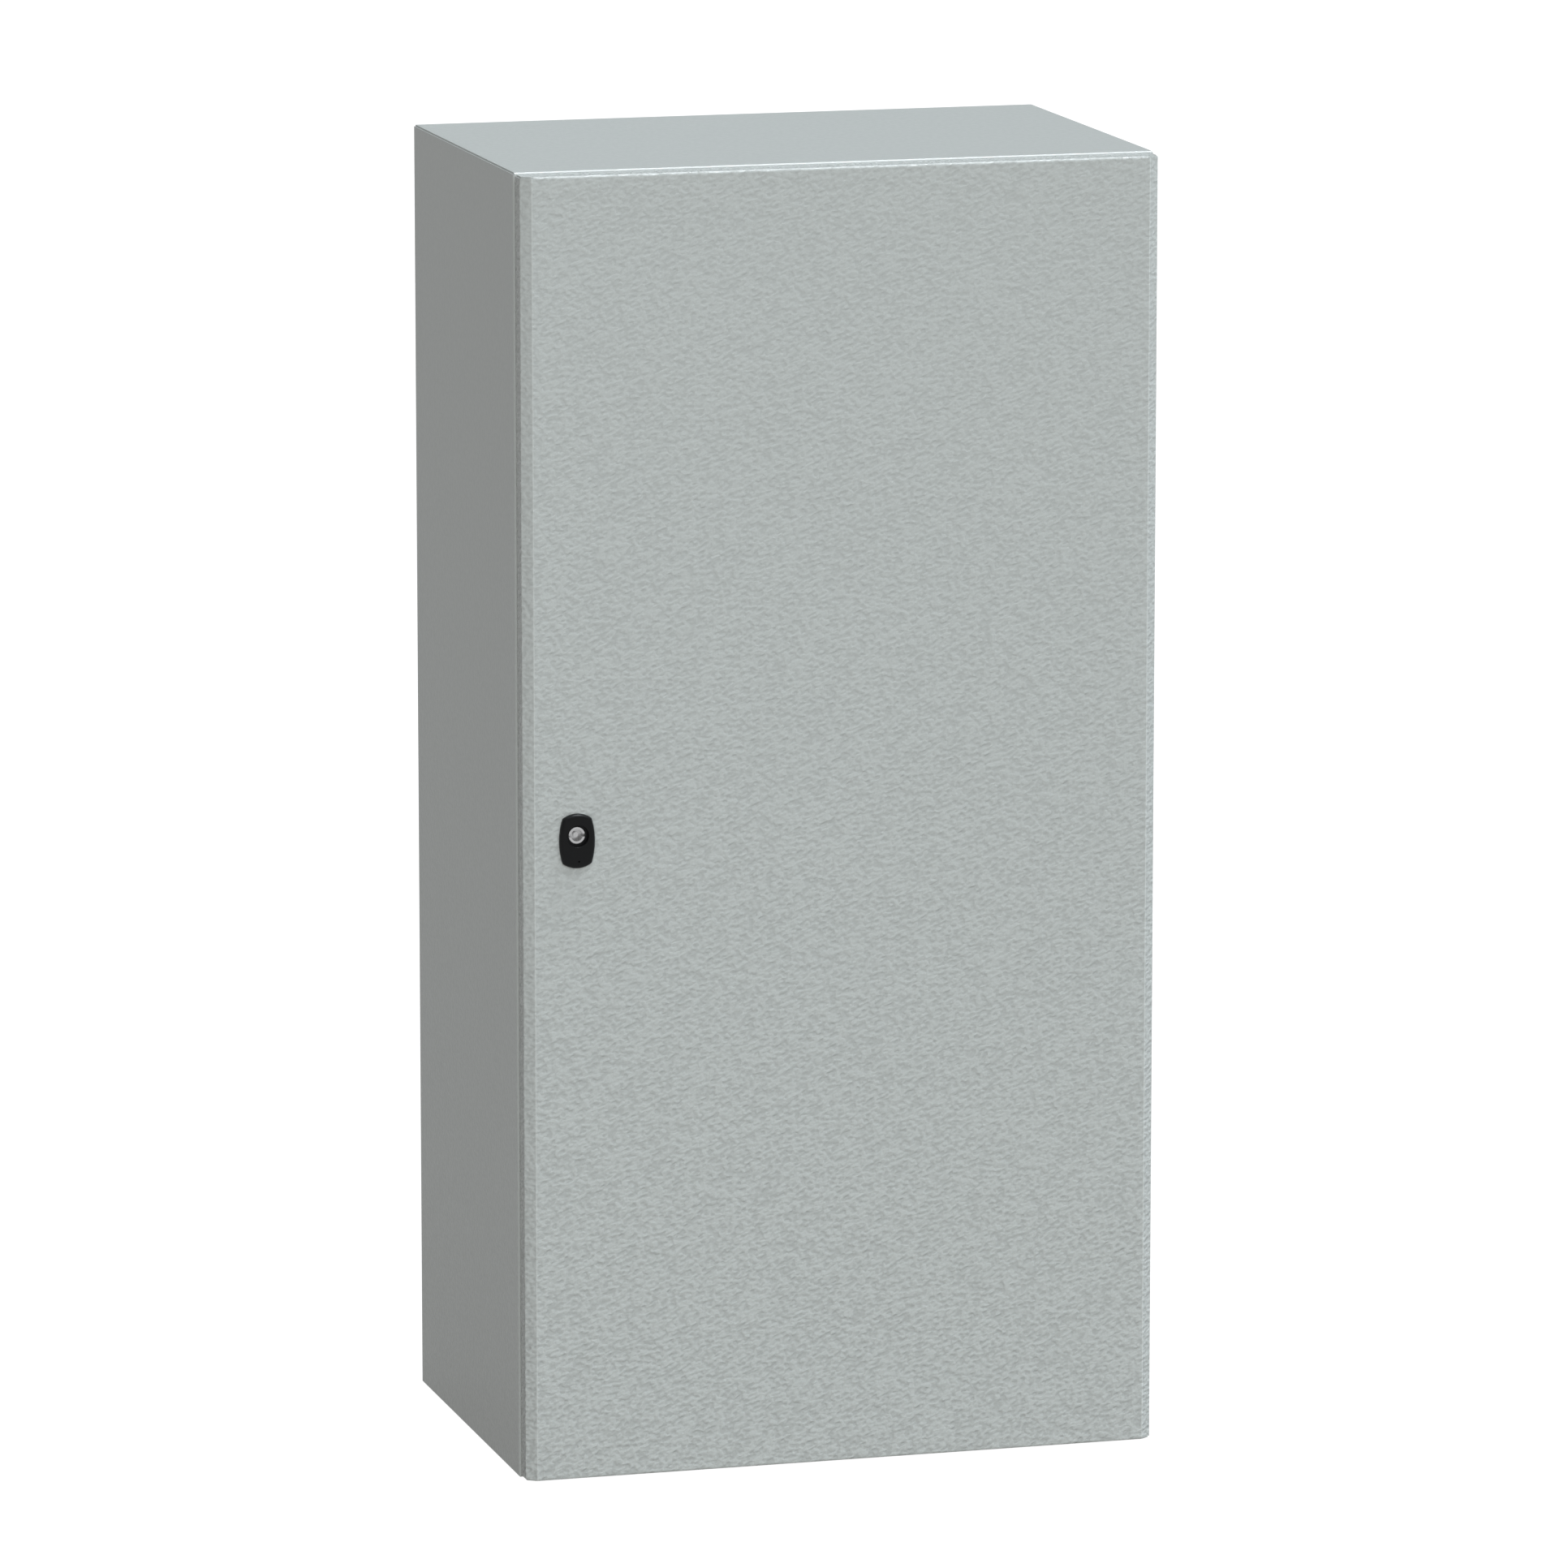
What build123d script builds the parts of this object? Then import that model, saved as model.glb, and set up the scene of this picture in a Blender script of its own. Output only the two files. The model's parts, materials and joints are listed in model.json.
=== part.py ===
from build123d import *
import os
from math import atan2, pi, sqrt, tan

# Steel switchboard cabinet, 1200 x 600 x 400 mm, with one plain door hung on the right and a lock with rods.
# The body is one folded sheet with a welded rear panel. A galvanised plate inside carries the switchgear.
#
# Frame: X to the right, Y to the back, Z up, in millimetres. The origin is on the floor, under the middle
# of the bounding box. The door faces -Y. It is modelled closed, with the lock turned to its open position.

# ---------------------------------------------------------------- driving dimensions
width = 600
height = 1200
depth = 400  # rear face to the front of the door
door_zone = 25  # depth taken by the door in front of the body
lock_proud = 5  # how far the lock's escutcheon stands in front of the door
sheet = 1.5
bend_radius = 2.5
running_clearance = 0.05
hole_clearance = 0.4  # around a stud in a plain hole

# Body
flange_width = 24  # front flange, folded inwards
lip_depth = 12  # sealing lip, folded forwards from the flange
weld_groove = 1.4  # open groove along the long edges of the body and at both ends of the door
inner_corner_radius = 3
corner_ease = 0.5  # extra corner radius of the rear panel, which sits inside the body
cavity_width = width - 2 * sheet
cavity_height = height - 2 * sheet
lip_width = width - 2 * flange_width
lip_height = height - 2 * flange_width
opening_width = lip_width - 2 * sheet
opening_height = lip_height - 2 * sheet

# Planes along Y
y_rear = (depth + lock_proud) / 2
y_body = y_rear - (depth - door_zone)  # front face of the body's flange
y_lip = y_body - lip_depth
y_door = y_rear - depth  # outer face of the door
y_door_inside = y_door + sheet
middle = height / 2

# Wall fixing and mounting plate
wall_hole = 8.5
wall_spacing_x = 540
wall_spacing_z = 1150
plate_width = 530
plate_height = 1130
plate_thickness = 2.5
plate_fold = 10
plate_corner_radius = 4
plate_bend_radius = 1.5
plate_fold_relief = 16  # the folds stop this far short of the plate's corners
stud_spacing_x = 490
stud_spacing_z = 1060
stud_thread = 8
stud_shoulder = 14
stud_shoulder_length = 20
stud_free_length = 16
stud_chamfer = 1
washer_radius = 12
washer_thickness = 1.6
plate_nut_flange = 1.5
plate_nut_flange_radius = 9
plate_nut_half = 6.5  # half the width across flats
plate_nut_height = 6.5
y_plate_back = y_rear - sheet - stud_shoulder_length
y_plate = y_plate_back - plate_thickness

# Gland plate in the bottom
gland_y = y_body + (depth - door_zone) / 2
gland_width = 480
gland_depth = 280
gland_rim = 20
gland_corner_radius = 10
gland_thickness = 2
gland_seal = 2.5
gland_stud_inset = 10
gland_thread = 6
gland_stud_length = 16
gland_stud_chamfer = 0.8
gland_nut_flange = 1.2
gland_nut_flange_radius = 7
gland_nut_half = 5
gland_nut_height = 4.8
z_gland = sheet + gland_seal

# Earth studs
earth_thread = 8
earth_chamfer = 1
earth_nut_half = 6.5
earth_nut_height = 6.5
earth_washer = 1.2
earth_washer_radius = 9
body_earth_length = 25
door_earth_length = 16
body_earth_point = (245, y_body + 32)
door_earth_point = (245, 80)

# Door
door_gap_side = 1.5
door_gap_back = 3  # clear space between the door's return and the body's flange
bevel_width = 9.5
bevel_depth = 7
bevel_bend_radius = 1.5
bevel_turn = atan2(bevel_depth, bevel_width)
weld_bead = 1.8  # inner corner radius where the end returns are welded on
door_width = width - 2 * door_gap_side
door_height = height - 2 * door_gap_side
door_front_half = door_width / 2 - bevel_width  # half the width of the flat front face
y_return = y_body - door_gap_back
hinge_notch_half = 29  # half height of the gap in the door's return at each hinge
y_notch = y_door + bevel_depth + 0.5
seal_width = 12
seal_overlap = 2.5  # how deep the lip sinks into the foam
seal_groove = 4
seal_clear = 0.3
seal_loop_width = lip_width - sheet
seal_loop_height = lip_height - sheet
y_seal = y_lip + seal_overlap

# Stiffening rails on the inside of the door
rail_x = 200
rail_web = 24
rail_foot = 12
rail_depth = 14
rail_height = 1075
rail_pitch = 25
rail_hole = 6.5

# Hinges
hinge_levels = {"lower": 150, "middle": 600, "upper": 1050}
hinge_x = width / 2 - 8.7
hinge_y = y_body - 12
hinge_knuckle = 5
hinge_pin = 5
hinge_foot_half = 26
hinge_foot_thickness = 2
hinge_knuckle_half = 11
hinge_ear = 4.7
hinge_end_play = 0.3
hinge_screw_z = 21
hinge_screw_x = hinge_x - 3.3
hinge_screw = 5
hinge_screw_length = 10
hinge_screw_socket = 2.2
hinge_screw_socket_half = 1.7
hinge_pin_tail = 2
hinge_pin_head_radius = 3.9
hinge_pin_head_height = 1.8
hinge_pin_chamfer = 0.7
foot_left = hinge_x - 11.5
foot_right = hinge_x + 5
ear_foot_left = hinge_x - 11
ear_foot_right = hinge_x - 1.5
door_foot_left = hinge_x - 9
door_foot_right = hinge_x - 3.5
door_foot_half = 30
door_foot_thickness = 2
y_foot = y_body - hinge_foot_thickness
ear_start = hinge_knuckle_half + hinge_end_play
ear_end = ear_start + hinge_ear

# Lock
lock_x = -250
lock_z = middle
escutcheon_half_width = 16.5
escutcheon_half_height = 25
escutcheon_corner_x = 13.4
escutcheon_corner_z = 20.6
escutcheon_corner_radius = 1.6
escutcheon_edge_radius = 3.2
escutcheon_drop = 5  # the escutcheon's centre lies this far below the lock's axis
escutcheon_z = lock_z - escutcheon_drop
drain_x = 1
drain_drop = 18.5
drain_radius = 0.8
well_radius = 10.2
well_depth = 4.2
well_rim_radius = 0.6
lock_seal_radius = 13.5
lock_seal_thickness = 1
stem_radius = 11
stem_clearance = 0.1
insert_radius = 8
insert_shoulder_radius = 9
shoulder_seat_depth = 3
shoulder_gap = 0.1
shoulder_thickness = 1.9
shank_radius = 6.5
shank_square = 9
key_well_radius = 5.5
key_well_depth = 7
key_pin_radius = 2.3
key_pin_drop = 4.2  # the pin ends this far below the insert's face
key_notch_width = 2.6  # opens the rim on the hinge side, where the key's flag passes
key_notch_depth = 3.5
key_bit_width = 3.1
key_bit_span = 15
insert_chamfer = 0.5
lock_nut_half = 13.5
lock_nut_thickness = 6
y_nut = y_door_inside + lock_nut_thickness
y_stem = y_nut + 2.5
y_insert = y_door - lock_proud + well_depth
y_shoulder = y_stem - shoulder_seat_depth + shoulder_gap
y_ring = y_shoulder + shoulder_thickness

# Cam and rods
cam_thickness = 3
cam_radius = 20.5
tongue_reach = 36
tongue_width = 18
catch_clearance = 0.8  # between the catches and the back of the flange
y_flange_back = y_body + sheet
y_cam = y_flange_back + catch_clearance
y_cam_back = y_cam + cam_thickness
clamp_gap = 0.2
cam_square = shank_square + 2 * running_clearance
cam_screw = 5
cam_screw_length = 12
cam_screw_head = 3.5
cam_screw_half = 4
cam_screw_chamfer = 0.5
cam_washer_radius = 6
cam_washer_thickness = 1
crank_radius = 16
crank_pin = 5
crank_pin_end = 1  # the pins stand this far out behind the rods
crank_pin_chamfer = 0.6
crank_offset = crank_radius / sqrt(2)  # the pins stand 45 degrees from level at both ends of their travel
rod_offset = (crank_radius + crank_offset) / 2
rod_width = 14
rod_thickness = 3
rod_corner_radius = 3
y_rod = y_cam_back + 0.3
y_rod_back = y_rod + rod_thickness
rod_slot_play = 0.8
rod_end_margin = 9
rod_end_gap = 4.5  # between a drawn-in rod and the edge of the body's opening
shoe_width = 18
shoe_length = 24
shoe_end = 2
shoe_wall = 1.5
shoe_lead = 1.8  # sloping front edge that finds its way behind the flange
guide_levels = {"upper_inner": 690, "upper_outer": 1115, "lower_inner": 510, "lower_outer": 85}
guide_thickness = 2.5
guide_head_width = 19.2
guide_neck_width = 9
guide_clearance = 0.4
guide_slot_width = rod_width + 2 * guide_clearance
guide_slot_depth = rod_thickness + 2 * guide_clearance
guide_end = 3.5
guide_foot_height = 18
guide_foot_thickness = 2
y_guide_head = y_lip + 4


def at_y(y):
    """Vertical plane at that depth: sketch X is X, sketch Y is Z, and an extrude runs to the front."""
    return Plane.XZ.offset(-y)


def save(builder, name):
    """Labels a finished piece and writes it."""
    builder.part.label = name
    export_step(builder.part, f"parts/{name}.step")


os.makedirs("parts", exist_ok=True)

# ---------------------------------------------------------------- body
hinge_screw_points = [
    (hinge_screw_x, level + side * hinge_screw_z)
    for level in hinge_levels.values()
    for side in (-1, 1)
]

with BuildPart() as body_shell:
    with BuildSketch(at_y(y_rear)):
        with Locations((0, middle)):
            Rectangle(width, height)
    extrude(amount=depth - door_zone)
    fillet(body_shell.faces().sort_by(Axis.Y)[0].edges(), bend_radius)
    with BuildSketch(at_y(y_rear)):
        with Locations((0, middle)):
            RectangleRounded(cavity_width, cavity_height, inner_corner_radius)
    extrude(amount=depth - door_zone - sheet, mode=Mode.SUBTRACT)
    with BuildSketch(at_y(y_flange_back)):
        with Locations((0, middle)):
            Rectangle(opening_width, opening_height)
    extrude(amount=sheet, mode=Mode.SUBTRACT)
    # Sealing lip around the opening
    with BuildSketch(at_y(y_body)):
        with Locations((0, middle)):
            Rectangle(lip_width, lip_height)
            Rectangle(opening_width, opening_height, mode=Mode.SUBTRACT)
    extrude(amount=lip_depth)
    # Open weld grooves where the top and the bottom meet the sides
    with BuildSketch(at_y(y_rear)):
        with Locations((0, middle)):
            with GridLocations(width - weld_groove, height - weld_groove, 2, 2):
                Rectangle(weld_groove, weld_groove)
    extrude(amount=depth - door_zone, mode=Mode.SUBTRACT)
    # Cable entry in the bottom
    with BuildSketch(Plane.XY):
        with Locations((0, gland_y)):
            RectangleRounded(gland_width - 2 * gland_rim, gland_depth - 2 * gland_rim, gland_corner_radius)
    extrude(amount=sheet, mode=Mode.SUBTRACT)
    # Threaded holes for the hinge screws
    with BuildSketch(at_y(y_flange_back)):
        with Locations(*hinge_screw_points):
            Circle(hinge_screw / 2 + running_clearance)
    extrude(amount=sheet, mode=Mode.SUBTRACT)
save(body_shell, "body_shell")

with BuildPart() as rear_panel:
    with BuildSketch(at_y(y_rear)):
        with Locations((0, middle)):
            RectangleRounded(cavity_width, cavity_height, inner_corner_radius + corner_ease)
            with GridLocations(wall_spacing_x, wall_spacing_z, 2, 2):
                Circle(wall_hole / 2, mode=Mode.SUBTRACT)
    extrude(amount=sheet)
save(rear_panel, "rear_panel")

# ---------------------------------------------------------------- mounting plate and its fixings
with BuildPart() as mounting_studs:
    with BuildSketch(at_y(y_rear - sheet)):
        with Locations((0, middle)):
            with GridLocations(stud_spacing_x, stud_spacing_z, 2, 2):
                Circle(stud_shoulder / 2)
    extrude(amount=stud_shoulder_length)
    with BuildSketch(at_y(y_plate_back)):
        with Locations((0, middle)):
            with GridLocations(stud_spacing_x, stud_spacing_z, 2, 2):
                Circle(stud_thread / 2)
    extrude(amount=plate_thickness + stud_free_length)
    chamfer(mounting_studs.faces().group_by(Axis.Y)[0].edges(), stud_chamfer)
save(mounting_studs, "mounting_studs")

with BuildPart() as mounting_plate:
    with BuildSketch(at_y(y_plate_back)):
        with Locations((0, middle)):
            RectangleRounded(plate_width, plate_height, plate_corner_radius)
            with GridLocations(stud_spacing_x, stud_spacing_z, 2, 2):
                Circle(stud_thread / 2 + hole_clearance, mode=Mode.SUBTRACT)
    extrude(amount=plate_thickness)
    # Long edges folded back for stiffness
    with BuildSketch(at_y(y_plate_back + plate_fold)):
        with Locations((0, middle)):
            with GridLocations(plate_width - plate_thickness, 0, 2, 1):
                Rectangle(plate_thickness, plate_height - 2 * plate_fold_relief)
    extrude(amount=plate_fold)
    long_edges = mounting_plate.faces().sort_by(Axis.Y)[0].edges().filter_by(Axis.Z).group_by(Axis.X)
    fillet(long_edges[0] + long_edges[-1], plate_bend_radius)
save(mounting_plate, "mounting_plate")

with BuildPart() as plate_washers:
    with BuildSketch(at_y(y_plate)):
        with Locations((0, middle)):
            with GridLocations(stud_spacing_x, stud_spacing_z, 2, 2):
                Circle(washer_radius)
                Circle(stud_thread / 2 + hole_clearance, mode=Mode.SUBTRACT)
    extrude(amount=washer_thickness)
save(plate_washers, "plate_washers")

with BuildPart() as plate_nuts:
    with BuildSketch(at_y(y_plate - washer_thickness)):
        with Locations((0, middle)):
            with GridLocations(stud_spacing_x, stud_spacing_z, 2, 2):
                Circle(plate_nut_flange_radius)
    extrude(amount=plate_nut_flange)
    with BuildSketch(at_y(y_plate - washer_thickness - plate_nut_flange)):
        with Locations((0, middle)):
            with GridLocations(stud_spacing_x, stud_spacing_z, 2, 2):
                RegularPolygon(plate_nut_half, 6, major_radius=False)
    extrude(amount=plate_nut_height)
    with BuildSketch(at_y(y_plate)):
        with Locations((0, middle)):
            with GridLocations(stud_spacing_x, stud_spacing_z, 2, 2):
                Circle(stud_thread / 2 + running_clearance)
    extrude(amount=stud_free_length, mode=Mode.SUBTRACT)
save(plate_nuts, "plate_nuts")

# ---------------------------------------------------------------- gland plate in the bottom
gland_stud_x = gland_width / 2 - gland_stud_inset
gland_stud_y = gland_depth / 2 - gland_stud_inset
gland_points = [(side * gland_stud_x, gland_y) for side in (-1, 1)]
for share in (-1, -1 / 3, 1 / 3, 1):
    gland_points += [(gland_stud_x * share, gland_y + side * gland_stud_y) for side in (-1, 1)]

with BuildPart() as gland_gasket:
    with BuildSketch(Plane.XY.offset(sheet)):
        with Locations((0, gland_y)):
            RectangleRounded(gland_width, gland_depth, gland_corner_radius)
            RectangleRounded(
                gland_width - 2 * gland_rim,
                gland_depth - 2 * gland_rim,
                gland_corner_radius,
                mode=Mode.SUBTRACT,
            )
        with Locations(*gland_points):
            Circle(gland_thread / 2 + hole_clearance, mode=Mode.SUBTRACT)
    extrude(amount=gland_seal)
save(gland_gasket, "gland_gasket")

with BuildPart() as gland_plate:
    with BuildSketch(Plane.XY.offset(z_gland)):
        with Locations((0, gland_y)):
            RectangleRounded(gland_width, gland_depth, gland_corner_radius)
        with Locations(*gland_points):
            Circle(gland_thread / 2 + hole_clearance, mode=Mode.SUBTRACT)
    extrude(amount=gland_thickness)
save(gland_plate, "gland_plate")

with BuildPart() as gland_studs:
    with BuildSketch(Plane.XY.offset(sheet)):
        with Locations(*gland_points):
            Circle(gland_thread / 2)
    extrude(amount=gland_stud_length)
    chamfer(gland_studs.faces().group_by(Axis.Z)[-1].edges(), gland_stud_chamfer)
save(gland_studs, "gland_studs")

with BuildPart() as gland_nuts:
    with BuildSketch(Plane.XY.offset(z_gland + gland_thickness)):
        with Locations(*gland_points):
            Circle(gland_nut_flange_radius)
    extrude(amount=gland_nut_flange)
    with BuildSketch(Plane.XY.offset(z_gland + gland_thickness + gland_nut_flange)):
        with Locations(*gland_points):
            RegularPolygon(gland_nut_half, 6, major_radius=False)
    extrude(amount=gland_nut_height)
    with BuildSketch(Plane.XY.offset(z_gland + gland_thickness)):
        with Locations(*gland_points):
            Circle(gland_thread / 2 + running_clearance)
    extrude(amount=gland_stud_length, mode=Mode.SUBTRACT)
save(gland_nuts, "gland_nuts")

# ---------------------------------------------------------------- earth studs
def earth_stud(plane, point, length):
    """Weld stud standing on the plane."""
    with BuildPart() as piece:
        with BuildSketch(plane):
            with Locations(point):
                Circle(earth_thread / 2)
        extrude(amount=length)
        chamfer(piece.faces().sort_by(Axis(plane.origin, plane.z_dir))[-1].edges(), earth_chamfer)
    return piece


def earth_nut_set(plane, point):
    """Washer with a hexagon nut on it, as one clamped pair, standing on the plane."""
    with BuildPart() as piece:
        with BuildSketch(plane):
            with Locations(point):
                Circle(earth_washer_radius)
        extrude(amount=earth_washer)
        with BuildSketch(plane.offset(earth_washer)):
            with Locations(point):
                RegularPolygon(earth_nut_half, 6, major_radius=False)
        extrude(amount=earth_nut_height)
        with BuildSketch(plane):
            with Locations(point):
                Circle(earth_thread / 2 + running_clearance)
        extrude(amount=earth_washer + earth_nut_height, mode=Mode.SUBTRACT)
    return piece


floor_plane = Plane.XY.offset(sheet)
# The door's inner face, with sketch X running to -X so that the extrude runs to the back
door_plane = Plane(origin=(0, y_door_inside, 0), x_dir=(-1, 0, 0), z_dir=(0, 1, 0))
door_earth_local = (-door_earth_point[0], door_earth_point[1])
save(earth_stud(floor_plane, body_earth_point, body_earth_length), "body_earth_stud")
save(earth_nut_set(floor_plane, body_earth_point), "body_earth_nut")
save(earth_stud(door_plane, door_earth_local, door_earth_length), "door_earth_stud")
save(earth_nut_set(door_plane, door_earth_local), "door_earth_nut")

# ---------------------------------------------------------------- hinges
def hinge_body_bracket(level):
    """Foot plate on the body's flange with two ears that hold the pin."""
    with BuildPart() as piece:
        with BuildSketch(Plane.XY.offset(level - hinge_foot_half)):
            with Locations(((foot_left + foot_right) / 2, (y_body + y_foot) / 2)):
                Rectangle(foot_right - foot_left, hinge_foot_thickness)
        extrude(amount=2 * hinge_foot_half)
        for z in (level + ear_start, level - ear_end):
            with BuildSketch(Plane.XY.offset(z)):
                with Locations((hinge_x, hinge_y)):
                    Circle(hinge_knuckle)
                with Locations(((ear_foot_left + ear_foot_right) / 2, (y_body + y_foot) / 2)):
                    Rectangle(ear_foot_right - ear_foot_left, hinge_foot_thickness)
                make_hull()
            extrude(amount=hinge_ear)
        with BuildSketch(Plane.XY.offset(level - hinge_foot_half)):
            with Locations((hinge_x, hinge_y)):
                Circle(hinge_pin / 2 + running_clearance)
        extrude(amount=2 * hinge_foot_half, mode=Mode.SUBTRACT)
        # Countersunk holes: straight bore, then the cone for the screw head
        for side in (-1, 1):
            with BuildSketch(at_y(y_body)):
                with Locations((hinge_screw_x, level + side * hinge_screw_z)):
                    Circle(hinge_screw / 2 + running_clearance)
            with BuildSketch(at_y(y_foot)):
                with Locations((hinge_screw_x, level + side * hinge_screw_z)):
                    Circle(hinge_screw / 2 + hinge_foot_thickness + running_clearance)
            loft(mode=Mode.SUBTRACT)
    return piece


def hinge_door_bracket(level):
    """Knuckle welded to the inside of the door, between the two ears."""
    with BuildPart() as piece:
        with BuildSketch(Plane.XY.offset(level - hinge_knuckle_half)):
            with Locations((hinge_x, hinge_y)):
                Circle(hinge_knuckle)
            with Locations(((door_foot_left + door_foot_right) / 2, y_door_inside + door_foot_thickness / 2)):
                Rectangle(door_foot_right - door_foot_left, door_foot_thickness)
            make_hull()
        extrude(amount=2 * hinge_knuckle_half)
        with BuildSketch(Plane.XY.offset(level - door_foot_half)):
            with Locations(((door_foot_left + door_foot_right) / 2, y_door_inside + door_foot_thickness / 2)):
                Rectangle(door_foot_right - door_foot_left, door_foot_thickness)
        extrude(amount=2 * door_foot_half)
        with BuildSketch(Plane.XY.offset(level - hinge_knuckle_half)):
            with Locations((hinge_x, hinge_y)):
                Circle(hinge_pin / 2 + running_clearance)
        extrude(amount=2 * hinge_knuckle_half, mode=Mode.SUBTRACT)
    return piece


def hinge_pin_piece(level):
    """Headed pin, dropped in from above."""
    with BuildPart() as piece:
        with BuildSketch(Plane.XY.offset(level - ear_end - hinge_pin_tail)):
            with Locations((hinge_x, hinge_y)):
                Circle(hinge_pin / 2)
        extrude(amount=2 * ear_end + hinge_pin_tail)
        with BuildSketch(Plane.XY.offset(level + ear_end)):
            with Locations((hinge_x, hinge_y)):
                Circle(hinge_pin_head_radius)
        extrude(amount=hinge_pin_head_height)
        chamfer(piece.faces().sort_by(Axis.Z)[0].edges(), hinge_pin_chamfer)
        chamfer(piece.faces().sort_by(Axis.Z)[-1].edges(), hinge_pin_chamfer)
    return piece


for name, level in hinge_levels.items():
    save(hinge_body_bracket(level), f"hinge_body_bracket_{name}")
    save(hinge_door_bracket(level), f"hinge_door_bracket_{name}")
    save(hinge_pin_piece(level), f"hinge_pin_{name}")

with BuildPart() as hinge_screws:
    for x, z in hinge_screw_points:
        with BuildSketch(at_y(y_body)):
            with Locations((x, z)):
                Circle(hinge_screw / 2)
        with BuildSketch(at_y(y_foot)):
            with Locations((x, z)):
                Circle(hinge_screw / 2 + hinge_foot_thickness)
        loft()
    with BuildSketch(at_y(y_body + hinge_screw_length)):
        with Locations(*hinge_screw_points):
            Circle(hinge_screw / 2)
    extrude(amount=hinge_screw_length)
    with BuildSketch(at_y(y_foot + hinge_screw_socket)):
        with Locations(*hinge_screw_points):
            RegularPolygon(hinge_screw_socket_half, 6, major_radius=False)
    extrude(amount=hinge_screw_socket, mode=Mode.SUBTRACT)
save(hinge_screws, "hinge_screws")

# ---------------------------------------------------------------- door


def door_outline(inset, y_back):
    """Plan of the door's pan with its two bevelled edges, moved in from the outer faces."""
    side = door_width / 2 - inset
    front = door_front_half - inset * tan(bevel_turn / 2)
    y_front = y_door + inset
    y_bevel = y_door + bevel_depth + inset * tan((pi / 2 - bevel_turn) / 2)
    left = [(-side, y_back), (-side, y_bevel), (-front, y_front)]
    return left + [(-x, y) for x, y in reversed(left)]


with BuildPart() as door_hollow:
    with BuildSketch(Plane.XY.offset(door_gap_side + sheet)):
        with BuildLine():
            Polyline(*door_outline(sheet, y_body), close=True)
        make_face()
    extrude(amount=door_height - 2 * sheet)
    end_faces = door_hollow.faces().filter_by(Axis.Z)
    fillet(end_faces[0].edges() + end_faces[1].edges(), weld_bead)

with BuildPart() as door_panel:
    with BuildSketch(Plane.XY.offset(door_gap_side)) as door_plan:
        with BuildLine():
            Polyline(*door_outline(0, y_return), close=True)
        make_face()
        rows = door_plan.vertices().group_by(Axis.Y)
        fillet(rows[0] + rows[1], bevel_bend_radius)
    extrude(amount=door_height)
    # Rounded bends along the top and the bottom of the front face
    with BuildSketch(Plane.YZ.offset(-door_width / 2)) as door_profile:
        with Locations(((y_door + y_return) / 2, middle)):
            Rectangle(y_return - y_door, door_height)
        fillet(door_profile.vertices().group_by(Axis.X)[0], bend_radius)
    extrude(amount=door_width, mode=Mode.INTERSECT)
    add(door_hollow.part, mode=Mode.SUBTRACT)
    # Open weld grooves where the end returns meet the bevels and the side returns
    for z in (door_gap_side, height - door_gap_side - weld_groove):
        with BuildSketch(Plane.XY.offset(z)):
            with BuildLine():
                Polyline(*door_outline(-weld_groove, y_body), close=True)
            make_face()
            with BuildLine():
                Polyline(*door_outline(weld_groove, y_body), close=True)
            make_face(mode=Mode.SUBTRACT)
            with Locations((0, y_door)):
                Rectangle(2 * door_front_half - 2 * bevel_bend_radius, 2 * door_zone, mode=Mode.SUBTRACT)
        extrude(amount=weld_groove, mode=Mode.SUBTRACT)
    # Gaps in the right-hand return, where the hinges pass
    with BuildSketch(Plane.YZ.offset(door_width / 2 - 2 * sheet)):
        with Locations(*[((y_notch + y_body) / 2, level) for level in hinge_levels.values()]):
            Rectangle(y_body - y_notch, 2 * hinge_notch_half)
    extrude(amount=3 * sheet, mode=Mode.SUBTRACT)
    with BuildSketch(at_y(y_door_inside)):
        with Locations((lock_x, lock_z)):
            Circle(stem_radius + stem_clearance)
    extrude(amount=sheet, mode=Mode.SUBTRACT)
save(door_panel, "door_panel")

with BuildPart() as door_gasket:
    with BuildSketch(at_y(y_seal)):
        with Locations((0, middle)):
            RectangleRounded(seal_loop_width + seal_width, seal_loop_height + seal_width, seal_width)
            Rectangle(seal_loop_width - seal_width, seal_loop_height - seal_width, mode=Mode.SUBTRACT)
    extrude(amount=y_seal - y_door_inside)
    with BuildSketch(at_y(y_seal)):
        with Locations((0, middle)):
            Rectangle(seal_loop_width + seal_groove, seal_loop_height + seal_groove)
            Rectangle(seal_loop_width - seal_groove, seal_loop_height - seal_groove, mode=Mode.SUBTRACT)
    extrude(amount=seal_overlap + seal_clear, mode=Mode.SUBTRACT)
save(door_gasket, "door_gasket")


def stiffening_rail(x):
    """Perforated hat-shaped rail, welded to the inside of the door by its two feet."""
    with BuildPart() as piece:
        with BuildSketch(Plane.XY.offset(middle - rail_height / 2)):
            with Locations((x, y_door_inside + sheet / 2)):
                Rectangle(rail_web + 2 * rail_foot, sheet)
            with Locations((x, y_door_inside + rail_depth / 2)):
                Rectangle(rail_web, rail_depth)
            with Locations((x, y_door_inside + (rail_depth - sheet) / 2)):
                Rectangle(rail_web - 2 * sheet, rail_depth - sheet, mode=Mode.SUBTRACT)
        extrude(amount=rail_height)
        with BuildSketch(at_y(y_door_inside + rail_depth)):
            with Locations((x, middle)):
                with GridLocations(0, rail_pitch, 1, int(rail_height / rail_pitch)):
                    Circle(rail_hole / 2)
        extrude(amount=sheet, mode=Mode.SUBTRACT)
    return piece


save(stiffening_rail(-rail_x), "door_rail_left")
save(stiffening_rail(rail_x), "door_rail_right")

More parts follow.
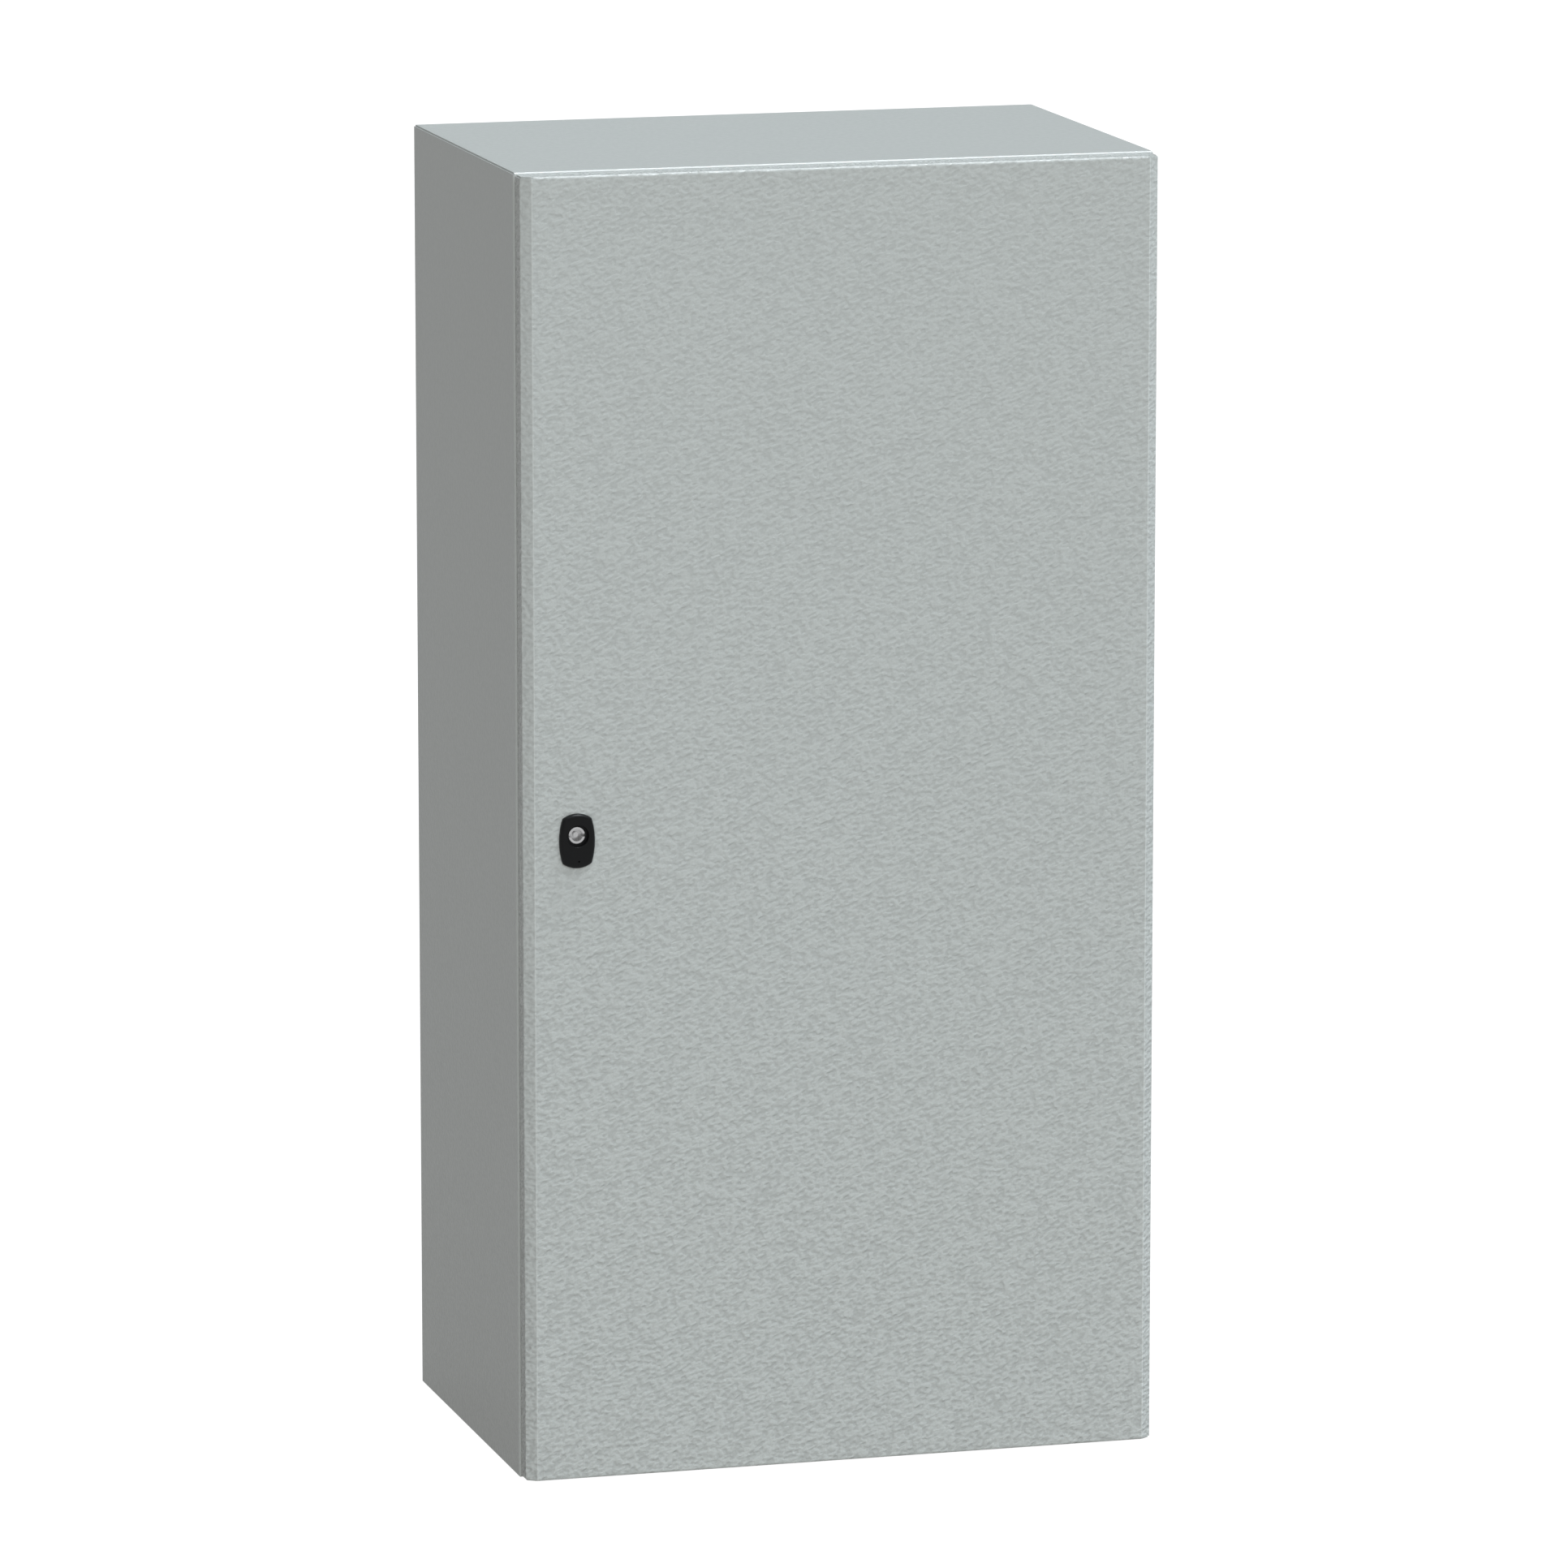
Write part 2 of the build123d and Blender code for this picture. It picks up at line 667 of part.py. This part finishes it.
# ---------------------------------------------------------------- lock
with BuildPart() as lock_housing:
    with BuildSketch(at_y(y_door)):
        with BuildLine():
            for sign in (-1, 1):
                ThreePointArc(
                    (lock_x + sign * escutcheon_corner_x, escutcheon_z - escutcheon_corner_z),
                    (lock_x + sign * escutcheon_half_width, escutcheon_z),
                    (lock_x + sign * escutcheon_corner_x, escutcheon_z + escutcheon_corner_z),
                )
                ThreePointArc(
                    (lock_x - escutcheon_corner_x, escutcheon_z + sign * escutcheon_corner_z),
                    (lock_x, escutcheon_z + sign * escutcheon_half_height),
                    (lock_x + escutcheon_corner_x, escutcheon_z + sign * escutcheon_corner_z),
                )
        barrel_face = make_face()
        fillet(barrel_face.vertices(), escutcheon_corner_radius)
    extrude(amount=lock_proud)
    fillet(lock_housing.faces().sort_by(Axis.Y)[0].edges(), escutcheon_edge_radius)
    # Threaded stem through the door
    with BuildSketch(at_y(y_stem)):
        with Locations((lock_x, lock_z)):
            Circle(stem_radius)
    extrude(amount=y_stem - y_door)
    # Key recess with a rounded rim
    with BuildSketch(at_y(y_insert)):
        with Locations((lock_x, lock_z)):
            Circle(well_radius)
    extrude(amount=2 * well_depth, mode=Mode.SUBTRACT)
    front_circles = lock_housing.faces().sort_by(Axis.Y)[0].edges().filter_by(GeomType.CIRCLE)
    fillet(front_circles.sort_by_distance((lock_x, y_door, lock_z))[0], well_rim_radius)
    # Bore of the insert, seat of its shoulder, seat of the seal
    with BuildSketch(at_y(y_stem)):
        with Locations((lock_x, lock_z)):
            Circle(insert_radius + running_clearance)
    extrude(amount=y_stem - y_insert, mode=Mode.SUBTRACT)
    with BuildSketch(at_y(y_stem)):
        with Locations((lock_x, lock_z)):
            Circle(insert_shoulder_radius + running_clearance)
    extrude(amount=shoulder_seat_depth, mode=Mode.SUBTRACT)
    with BuildSketch(at_y(y_door)):
        with Locations((lock_x, lock_z)):
            Circle(lock_seal_radius)
            Circle(stem_radius, mode=Mode.SUBTRACT)
    extrude(amount=lock_seal_thickness, mode=Mode.SUBTRACT)
    # Drain hole below the insert
    with BuildSketch(at_y(y_door)):
        with Locations((lock_x + drain_x, escutcheon_z - drain_drop)):
            Circle(drain_radius)
    extrude(amount=lock_proud, mode=Mode.SUBTRACT)
save(lock_housing, "lock_housing")

with BuildPart() as lock_seal:
    with BuildSketch(at_y(y_door)):
        with Locations((lock_x, lock_z)):
            Circle(lock_seal_radius - running_clearance)
            Circle(stem_radius + running_clearance, mode=Mode.SUBTRACT)
    extrude(amount=lock_seal_thickness)
save(lock_seal, "lock_seal")

with BuildPart() as lock_nut:
    with BuildSketch(at_y(y_nut)):
        with Locations((lock_x, lock_z)):
            RegularPolygon(lock_nut_half, 6, major_radius=False)
            Circle(stem_radius + running_clearance, mode=Mode.SUBTRACT)
    extrude(amount=lock_nut_thickness)
save(lock_nut, "lock_nut")

with BuildPart() as lock_insert:
    with BuildSketch(at_y(y_shoulder)):
        with Locations((lock_x, lock_z)):
            Circle(insert_radius)
    extrude(amount=y_shoulder - y_insert)
    chamfer(lock_insert.faces().sort_by(Axis.Y)[0].edges(), insert_chamfer)
    # Well for a double-bit key, with its centre pin
    with BuildSketch(at_y(y_insert + key_well_depth)):
        with Locations((lock_x, lock_z)):
            Circle(key_well_radius)
            Rectangle(key_bit_span, key_bit_width)
            Circle(key_pin_radius, mode=Mode.SUBTRACT)
    extrude(amount=key_well_depth, mode=Mode.SUBTRACT)
    with BuildSketch(at_y(y_insert + key_pin_drop)):
        with Locations((lock_x, lock_z)):
            Circle(key_pin_radius)
    extrude(amount=key_pin_drop, mode=Mode.SUBTRACT)
    with BuildSketch(at_y(y_insert + key_notch_depth)):
        with Locations((lock_x + insert_radius, lock_z)):
            Rectangle(insert_radius, key_notch_width)
    extrude(amount=key_notch_depth, mode=Mode.SUBTRACT)
    with BuildSketch(at_y(y_ring)):
        with Locations((lock_x, lock_z)):
            Circle(insert_shoulder_radius)
    extrude(amount=shoulder_thickness)
    with BuildSketch(at_y(y_cam)):
        with Locations((lock_x, lock_z)):
            Circle(shank_radius)
    extrude(amount=y_cam - y_ring)
    with BuildSketch(at_y(y_cam_back - clamp_gap)):
        with Locations((lock_x, lock_z)):
            Rectangle(shank_square, shank_square)
    extrude(amount=cam_thickness - clamp_gap)
    with BuildSketch(at_y(y_cam_back)):
        with Locations((lock_x, lock_z)):
            Circle(cam_screw / 2 + running_clearance)
    extrude(amount=cam_screw_length, mode=Mode.SUBTRACT)
save(lock_insert, "lock_insert")

with BuildPart() as lock_retaining_ring:
    with BuildSketch(at_y(y_stem)):
        with Locations((lock_x, lock_z)):
            Circle(insert_shoulder_radius)
            Circle(shank_radius + hole_clearance, mode=Mode.SUBTRACT)
    extrude(amount=y_stem - y_ring - shoulder_gap)
save(lock_retaining_ring, "lock_retaining_ring")

pin_points = [(lock_x + side * crank_offset, lock_z - side * crank_offset) for side in (-1, 1)]
tongue_left = lock_x - tongue_width / 2
tongue_right = lock_x + tongue_width / 2
tongue_shoulder = lock_z + tongue_reach - tongue_width / 4
with BuildPart() as lock_cam:
    with BuildSketch(at_y(y_cam_back)):
        with Locations((lock_x, lock_z)):
            Circle(cam_radius)
        with BuildLine():
            Polyline(
                (tongue_left, tongue_shoulder),
                (tongue_left, lock_z),
                (tongue_right, lock_z),
                (tongue_right, tongue_shoulder),
            )
            ThreePointArc(
                (tongue_left, tongue_shoulder),
                (lock_x, lock_z + tongue_reach),
                (tongue_right, tongue_shoulder),
            )
        make_face()
        with Locations((lock_x, lock_z)):
            Rectangle(cam_square, cam_square, mode=Mode.SUBTRACT)
        with Locations(*pin_points):
            Circle(crank_pin / 2 + running_clearance, mode=Mode.SUBTRACT)
    extrude(amount=cam_thickness)
save(lock_cam, "lock_cam")

with BuildPart() as crank_pins:
    with BuildSketch(at_y(y_rod_back + crank_pin_end)):
        with Locations(*pin_points):
            Circle(crank_pin / 2)
    extrude(amount=y_rod_back + crank_pin_end - y_cam)
    chamfer(crank_pins.faces().group_by(Axis.Y)[-1].edges(), crank_pin_chamfer)
save(crank_pins, "crank_pins")

with BuildPart() as cam_screw_piece:
    with BuildSketch(at_y(y_cam_back + cam_washer_thickness)):
        with Locations((lock_x, lock_z)):
            Circle(cam_screw / 2)
    extrude(amount=cam_screw_length)
    with BuildSketch(at_y(y_cam_back + cam_washer_thickness + cam_screw_head)):
        with Locations((lock_x, lock_z)):
            RegularPolygon(cam_screw_half, 6, major_radius=False)
    extrude(amount=cam_screw_head)
    chamfer(cam_screw_piece.faces().sort_by(Axis.Y)[-1].edges(), cam_screw_chamfer)
save(cam_screw_piece, "cam_screw")

with BuildPart() as cam_washer:
    with BuildSketch(at_y(y_cam_back + cam_washer_thickness)):
        with Locations((lock_x, lock_z)):
            Circle(cam_washer_radius)
            Circle(cam_screw / 2 + clamp_gap, mode=Mode.SUBTRACT)
    extrude(amount=cam_washer_thickness)
save(cam_washer, "cam_washer")

# ---------------------------------------------------------------- locking rods
rod_inner_reach = crank_offset + rod_end_margin
rod_outer_reach = opening_height / 2 - rod_end_gap


def locking_rod(side):
    """Flat bar from the cam to the edge of the opening: side is 1 for the upper rod, -1 for the lower."""
    x = lock_x + side * rod_offset
    inner = lock_z - side * rod_inner_reach
    outer = lock_z + side * (rod_outer_reach - shoe_end)
    with BuildPart() as piece:
        with BuildSketch(at_y(y_rod_back)):
            with Locations((x, (inner + outer) / 2)):
                Rectangle(rod_width, abs(outer - inner))
            with Locations((x, lock_z - side * crank_offset)):
                SlotOverall(
                    crank_radius - crank_offset + crank_pin + 2 * rod_slot_play,
                    crank_pin + 2 * rod_slot_play,
                    mode=Mode.SUBTRACT,
                )
        extrude(amount=rod_thickness)
        inner_corners = piece.edges().filter_by(Axis.Y).group_by(Axis.Z)[0 if side > 0 else -1]
        fillet(inner_corners, rod_corner_radius)
    return piece


def rod_shoe(side):
    """Plastic shoe pushed over the rod's outer end, which slides behind the body's flange."""
    x = lock_x + side * rod_offset
    end = lock_z + side * rod_outer_reach
    with BuildPart() as piece:
        with BuildSketch(at_y(y_rod_back + shoe_wall)):
            with Locations((x, end - side * shoe_length / 2)):
                Rectangle(shoe_width, shoe_length)
        extrude(amount=y_rod_back + shoe_wall - y_cam)
        tip_edges = piece.faces().sort_by(Axis.Z, reverse=side < 0)[-1].edges().filter_by(Axis.X)
        chamfer(tip_edges.sort_by(Axis.Y)[0], shoe_lead)
        with BuildSketch(at_y(y_rod_back + running_clearance)):
            with Locations((x, end - side * (shoe_end + shoe_length))):
                Rectangle(rod_width + 2 * running_clearance, 2 * shoe_length)
        extrude(amount=rod_thickness + 2 * running_clearance, mode=Mode.SUBTRACT)
    return piece


def rod_guide(side, level):
    """Bracket welded on the door, with a closed slot that the rod slides through."""
    x = lock_x + side * rod_offset
    y_end = y_rod_back + guide_end
    with BuildPart() as piece:
        with BuildSketch(Plane.XY.offset(level - guide_thickness / 2)):
            with Locations((x, (y_door_inside + y_guide_head) / 2)):
                Rectangle(guide_neck_width, y_guide_head - y_door_inside)
            with Locations((x, (y_guide_head + y_end) / 2)):
                Rectangle(guide_head_width, y_end - y_guide_head)
            with Locations((x, (y_rod + y_rod_back) / 2)):
                Rectangle(guide_slot_width, guide_slot_depth, mode=Mode.SUBTRACT)
        extrude(amount=guide_thickness)
        with BuildSketch(at_y(y_door_inside)):
            with Locations((x, level)):
                RectangleRounded(guide_neck_width, guide_foot_height, guide_foot_thickness)
        extrude(amount=-guide_foot_thickness)
    return piece


for name, side in {"upper": 1, "lower": -1}.items():
    save(locking_rod(side), f"locking_rod_{name}")
    save(rod_shoe(side), f"rod_shoe_{name}")
for name, level in guide_levels.items():
    save(rod_guide(1 if level > lock_z else -1, level), f"rod_guide_{name}")
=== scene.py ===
import bpy
import json
import math
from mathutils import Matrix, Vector


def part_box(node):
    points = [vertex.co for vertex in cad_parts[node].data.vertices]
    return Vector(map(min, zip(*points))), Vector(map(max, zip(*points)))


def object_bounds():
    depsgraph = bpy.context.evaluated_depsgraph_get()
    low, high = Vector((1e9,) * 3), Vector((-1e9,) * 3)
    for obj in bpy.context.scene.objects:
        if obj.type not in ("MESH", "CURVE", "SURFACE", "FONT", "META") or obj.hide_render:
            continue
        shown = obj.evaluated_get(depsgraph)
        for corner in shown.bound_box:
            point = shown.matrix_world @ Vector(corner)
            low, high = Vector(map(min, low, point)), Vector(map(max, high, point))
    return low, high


# Looks of the steel switchboard cabinet: procedural materials on the frame's nodes, a camera, soft light
# and a pale floor. Everything is in metres, in the frame's own coordinates.

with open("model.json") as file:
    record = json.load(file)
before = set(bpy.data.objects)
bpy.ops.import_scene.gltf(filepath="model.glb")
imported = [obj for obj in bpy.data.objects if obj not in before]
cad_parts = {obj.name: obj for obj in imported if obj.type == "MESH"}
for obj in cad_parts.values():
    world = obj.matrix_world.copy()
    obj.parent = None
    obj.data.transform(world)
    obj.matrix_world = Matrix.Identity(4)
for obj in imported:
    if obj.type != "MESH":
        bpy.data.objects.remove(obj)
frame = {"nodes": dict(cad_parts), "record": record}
nodes = frame["nodes"]
record = frame["record"]
cad_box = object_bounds()

MM = 0.001

# ---------------------------------------------------------------- camera

view_azimuth = math.radians(15.656)  # the camera stands this far round to the left of the door
view_elevation = math.radians(10.566)
view_distance = 9.2
view_aim = Vector((-0.0460, -0.1631, 0.6306))
view_lens = 231.97

camera_data = bpy.data.cameras.new("camera")
camera_data.lens = view_lens
camera = bpy.data.objects.new("camera", camera_data)
bpy.context.scene.collection.objects.link(camera)
looking = Vector((
    math.sin(view_azimuth) * math.cos(view_elevation),
    math.cos(view_azimuth) * math.cos(view_elevation),
    -math.sin(view_elevation),
))
camera.location = view_aim - view_distance * looking
camera.rotation_euler = looking.to_track_quat("-Z", "Y").to_euler()
bpy.context.scene.camera = camera

# ---------------------------------------------------------------- light and floor


def sun(name, towards, strength, angle, colour=(1, 1, 1), glossy=True):
    """Soft distant light that comes from the direction towards, with or without highlights."""
    data = bpy.data.lights.new(name, "SUN")
    data.energy = strength
    data.angle = math.radians(angle)
    data.color = colour
    lamp = bpy.data.objects.new(name, data)
    lamp.rotation_euler = Vector(towards).to_track_quat("Z", "Y").to_euler()
    lamp.visible_glossy = glossy
    bpy.context.scene.collection.objects.link(lamp)


daylight = (0.90, 0.955, 1.0)
sun("overhead_front", (0.265, -0.42, 0.87), 0.85, 8, daylight)
sun("overhead_middle", (0.265, -0.04, 0.96), 1.75, 12, daylight)
sun("overhead_rear", (0.265, 0.42, 0.87), 0.8, 8, daylight)
sun("front_fill", (0.0, -0.91, 0.4), 1.4, 30, daylight, glossy=False)
sun("left_fill", (-0.42, -0.9, 0.07), 0.62, 8, (1, 0.95, 0.88), glossy=False)
sun("right_fill", (0.985, 0.0, 0.17), 1.25, 30, (0.85, 0.93, 1.0), glossy=False)
sun("back_fill", (0.1, 0.97, 0.15), 1.1, 20, daylight, glossy=False)

sky_for_object = 0.21  # the even light that the sky gives the object
sky_for_camera = 1.0  # the white behind the floor
world = bpy.data.worlds.new("studio")
world.use_nodes = True
sky = world.node_tree.nodes["Background"]
sky.inputs["Color"].default_value = (1, 1, 1, 1)
sky_seen = world.node_tree.nodes.new("ShaderNodeLightPath").outputs["Is Camera Ray"]
sky_strength = world.node_tree.nodes.new("ShaderNodeMapRange")
sky_strength.inputs["To Min"].default_value = sky_for_object
sky_strength.inputs["To Max"].default_value = sky_for_camera
world.node_tree.links.new(sky_seen, sky_strength.inputs["Value"])
world.node_tree.links.new(sky_strength.outputs["Result"], sky.inputs["Strength"])
bpy.context.scene.world = world
bpy.context.scene.view_settings.view_transform = "Standard"

# ---------------------------------------------------------------- material helpers


class Look:
    """One procedural material: a Principled surface and short calls that add nodes to it."""

    def __init__(self, name, colour, roughness=0.5, metallic=0.0, **inputs):
        self.material = bpy.data.materials.new(name)
        self.material.use_nodes = True
        self.tree = self.material.node_tree
        self.surface = self.tree.nodes["Principled BSDF"]
        self.set(self.surface, "Base Color", (*colour, 1))
        self.set(self.surface, "Roughness", roughness)
        self.set(self.surface, "Metallic", metallic)
        for key, value in inputs.items():
            self.set(self.surface, key.replace("_", " "), value)
        self.place = self.node("ShaderNodeTexCoord").outputs["Object"]

    def set(self, node, key, value):
        """Gives an input a value, or links it to a socket."""
        if isinstance(value, bpy.types.NodeSocket):
            self.tree.links.new(value, node.inputs[key])
        else:
            node.inputs[key].default_value = value

    def node(self, kind, inputs=None, **settings):
        node = self.tree.nodes.new(kind)
        for key, value in settings.items():
            setattr(node, key, value)
        for key, value in (inputs or {}).items():
            self.set(node, key, value)
        return node

    def noise(self, size, detail=2.0, roughness=0.5, distortion=0.0, place=None):
        """Noise whose blotches are about that large, in metres."""
        inputs = {"Vector": place or self.place, "Scale": 1 / size, "Detail": detail}
        inputs |= {"Roughness": roughness, "Distortion": distortion}
        return self.node("ShaderNodeTexNoise", inputs).outputs["Fac"]

    def stretched(self, stretch, turn=0.0):
        """The place, turned about Y and then drawn out by different amounts along X, Y and Z."""
        inputs = {"Vector": self.place, "Rotation": (0, math.radians(turn), 0), "Scale": stretch}
        return self.node("ShaderNodeMapping", inputs, vector_type="TEXTURE").outputs["Vector"]

    def between(self, value, low, high, out_low=0.0, out_high=1.0, smooth=False):
        """Value from low to high, mapped to out_low to out_high."""
        inputs = {"Value": value, "From Min": low, "From Max": high}
        inputs |= {"To Min": out_low, "To Max": out_high}
        kind = "SMOOTHSTEP" if smooth else "LINEAR"
        return self.node("ShaderNodeMapRange", inputs, interpolation_type=kind).outputs["Result"]

    def math(self, operation, a, b=0.0):
        return self.node("ShaderNodeMath", {0: a, 1: b}, operation=operation).outputs["Value"]

    def mix(self, share, a, b):
        """Colour between a and b."""
        inputs = {"Factor": share}
        node = self.node("ShaderNodeMix", inputs, data_type="RGBA")
        self.set(node, 6, a if isinstance(a, bpy.types.NodeSocket) else (*a, 1))
        self.set(node, 7, b if isinstance(b, bpy.types.NodeSocket) else (*b, 1))
        return node.outputs[2]

    def bump(self, height, distance, strength=1.0):
        """Relief of that depth in metres, on top of the relief before it."""
        inputs = {"Height": height, "Distance": distance, "Strength": strength}
        if self.surface.inputs["Normal"].is_linked:
            inputs["Normal"] = self.surface.inputs["Normal"].links[0].from_socket
        self.set(self.surface, "Normal", self.node("ShaderNodeBump", inputs).outputs["Normal"])

    def axis(self, name):
        return self.node("ShaderNodeSeparateXYZ", {"Vector": self.place}).outputs[name]


def shade(colour, factor):
    return tuple(min(1.0, c * factor) for c in colour)


# ---------------------------------------------------------------- materials

COAT = (0.43, 0.452, 0.438)
# painted highlight: a lighter coat colour along the door's upright bends
BEND_HIGHLIGHT_COAT = shade(COAT, 1.15)
# painted shade: the coat's pits are darkened towards this colour
PIT_SHADE_COLOUR = (0.05, 0.045, 0.04)
PIT_SIZE = 3.1 * MM
PIT_STRETCH = 1.5
PIT_SLOPE = -22  # degrees that the pits' long side turns about Y
CABINET_HEIGHT = cad_box[1].z
BEVEL_WIDTH = 9.5 * MM
FRONT_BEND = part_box("door_panel")[1].x - BEVEL_WIDTH  # the door's front ends here and its bevels start
BEND_HIGHLIGHT_REACH = 0.9 * MM  # how far the painted highlight goes to each side of the bend

# Painted shade: the lock insert's chrome darkens deeper in its recess, where shade falls.
RECESS_SHADE_COLOUR = (0.05, 0.05, 0.055)
RECESS_SHADE_DEPTH = 2.5 * MM  # the painted shade deepens over this depth
RECESS_SHADE_SHARE = 0.2  # how much painted shade there is deepest in the recess
UNSHADED_DEPTH = 4.3 * MM  # the front part of the lock's insert that gets no painted shade
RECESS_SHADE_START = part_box("lock_insert")[0][1] + UNSHADED_DEPTH


def powder_coat(name, relief, shading, gloss, bends=False):
    """Textured powder coat: short sloping pits between smooth rises, darkened in colour as painted shade.

    Relief and shading each have a value at the top and one at the foot, and gloss has the roughness of
    pits and rises. Shading is how strongly the pits are darkened as painted shade. With bends, a painted
    highlight lightens the coat along the upright bends of the door's front.
    """
    look = Look(name, COAT, IOR=1.45)
    height = look.axis("Z")
    strokes = look.stretched((PIT_STRETCH, PIT_STRETCH, 1), turn=PIT_SLOPE)
    worms = look.noise(PIT_SIZE, detail=0.6, roughness=0.4, distortion=0.2, place=strokes)
    pits = look.between(worms, 0.58, 0.36, smooth=True)
    # painted shade in the pits, stronger towards the foot
    pit_shade = look.between(height, 0, CABINET_HEIGHT, shading[1], shading[0])
    share = look.math("MULTIPLY", pits, pit_shade)
    tone = look.mix(share, COAT, PIT_SHADE_COLOUR)
    if bends:
        # painted highlight along the upright bends of the door's front
        from_bend = look.math("SUBTRACT", look.math("ABSOLUTE", look.axis("X")), FRONT_BEND)
        bend_highlight = look.between(look.math("ABSOLUTE", from_bend), BEND_HIGHLIGHT_REACH, 0, smooth=True)
        tone = look.mix(bend_highlight, tone, BEND_HIGHLIGHT_COAT)
    look.set(look.surface, "Base Color", tone)
    look.set(look.surface, "Roughness", look.between(worms, 0.35, 0.65, gloss[0], gloss[1]))
    depth = look.between(height, 0, CABINET_HEIGHT, relief[1], relief[0])
    look.bump(look.math("MULTIPLY", worms, depth), 1.0)
    return look.material


def zinc(name, colour, roughness, spangle, relief=0.01 * MM):
    """Zinc-plated or galvanised steel with a faint cloudy spangle."""
    look = Look(name, colour, roughness=roughness, metallic=1.0)
    cells = look.node("ShaderNodeTexVoronoi", {"Vector": look.place, "Scale": 1 / spangle}).outputs["Color"]
    cloud = look.noise(spangle * 2.5, detail=4, roughness=0.6)
    cell_tone = look.node("ShaderNodeSeparateColor", {"Color": cells}).outputs["Red"]
    share = look.math("ADD", look.math("MULTIPLY", cell_tone, 0.6), look.math("MULTIPLY", cloud, 0.4))
    look.set(look.surface, "Base Color", look.mix(share, shade(colour, 0.86), shade(colour, 1.08)))
    look.set(look.surface, "Roughness", look.between(share, 0, 1, roughness + 0.1, roughness - 0.06))
    look.bump(look.noise(0.4 * MM, detail=2), relief)
    return look.material


def machined(name, colour, roughness, stretch, pitch=0.5 * MM, recess_shade_from=None):
    """Turned, ground or drawn metal with fine lines along the stretched direction.

    Behind the place along Y that the last argument gives, the colour darkens as painted shade in the
    recess.
    """
    look = Look(name, colour, roughness=roughness, metallic=1.0)
    lines = look.noise(pitch, detail=3, place=look.stretched(stretch))
    tone = look.mix(lines, shade(colour, 0.9), shade(colour, 1.05))
    if recess_shade_from is not None:
        # painted shade: darker deeper in the recess
        recess_shade = look.between(look.axis("Y"), recess_shade_from, recess_shade_from + RECESS_SHADE_DEPTH, 0, RECESS_SHADE_SHARE)
        tone = look.mix(recess_shade, tone, RECESS_SHADE_COLOUR)
    look.set(look.surface, "Base Color", tone)
    gloss = look.between(lines, 0.3, 0.7, roughness - 0.06, roughness + 0.08)
    look.set(look.surface, "Roughness", gloss)
    look.bump(lines, 0.008 * MM)
    return look.material


def moulded(name, colour, roughness, grain, relief):
    """Moulded plastic with a fine spark-eroded grain and slightly uneven gloss."""
    look = Look(name, colour, roughness=roughness, Specular_IOR_Level=0.28)
    cloud = look.noise(6 * MM, detail=3)
    fine = look.noise(grain, detail=2)
    look.set(look.surface, "Base Color", look.mix(cloud, shade(colour, 0.8), shade(colour, 1.25)))
    gloss = look.between(cloud, 0.3, 0.7, roughness - 0.05, roughness + 0.06)
    look.set(look.surface, "Roughness", gloss)
    look.bump(fine, relief)
    return look.material


def foam(name, colour):
    """Foamed seal: matt skin with open bubbles."""
    look = Look(name, colour, roughness=0.85)
    cells = look.node("ShaderNodeTexVoronoi", {"Vector": look.place, "Scale": 1 / (1.1 * MM)})
    bubbles = look.between(cells.outputs["Distance"], 0.1, 0.6)
    look.set(look.surface, "Base Color", look.mix(bubbles, shade(colour, 0.6), shade(colour, 1.5)))
    look.bump(bubbles, 0.15 * MM)
    return look.material


body_coat = powder_coat("coat_of_the_body", (0.08 * MM, 0.6 * MM), (0.0, 0.03), (0.32, 0.28))
looks = {
    "powder_coat": body_coat,
    "galvanised_plate": zinc("galvanised_sheet", (0.60, 0.62, 0.63), 0.42, 9 * MM),
    "zinc_steel": zinc("bright_zinc", (0.72, 0.73, 0.74), 0.3, 2 * MM, 0.005 * MM),
    "zinc_diecast": zinc("zinc_casting", (0.50, 0.51, 0.52), 0.48, 1.5 * MM, 0.03 * MM),
    "pin_steel": machined("ground_steel", (0.62, 0.63, 0.64), 0.25, (1, 1, 20)),
    "brass_nut": machined("plain_brass", (0.80, 0.60, 0.28), 0.28, (1, 1, 10)),
    "chrome": machined("chrome_plate", (0.93, 0.93, 0.93), 0.22, (1, 20, 1), 0.3 * MM, RECESS_SHADE_START),
    "black_plastic": moulded("black_nylon", (0.0045, 0.0047, 0.005), 0.42, 0.35 * MM, 0.012 * MM),
    "foam_seal": foam("foamed_seal", (0.035, 0.035, 0.036)),
}
door_relief = (1.1 * MM, 2.0 * MM)
looks_by_node = {
    "door_panel": powder_coat("coat_of_the_door", door_relief, (0.08, 0.15), (0.42, 0.24), bends=True),
}

for part in record["subparts"]:
    piece = nodes[part["node"]]
    for material_slot in piece.material_slots:
        material_slot.material = looks_by_node.get(part["node"], looks[part["material_slot"]])

# ---------------------------------------------------------------- floor

floor_reach = 60
floor_drop = 0.5 * MM  # so that it doesn't share a plane with the cabinet's base
floor_mesh = bpy.data.meshes.new("floor")
turns = [(-1, -1), (1, -1), (1, 1), (-1, 1)]
corners = [(x * floor_reach, y * floor_reach, -floor_drop) for x, y in turns]
floor_mesh.from_pydata(corners, [], [(0, 1, 2, 3)])
floor = bpy.data.objects.new("floor", floor_mesh)
floor_look = Look("pale_floor", (0.05, 0.05, 0.05), roughness=0.9, Emission_Color=(1, 1, 1, 1))
seen = floor_look.node("ShaderNodeLightPath").outputs["Is Camera Ray"]
floor_look.set(floor_look.surface, "Emission Strength", floor_look.between(seen, 0, 1, 0.39, 1.0))
floor_mesh.materials.append(floor_look.material)
bpy.context.scene.collection.objects.link(floor)
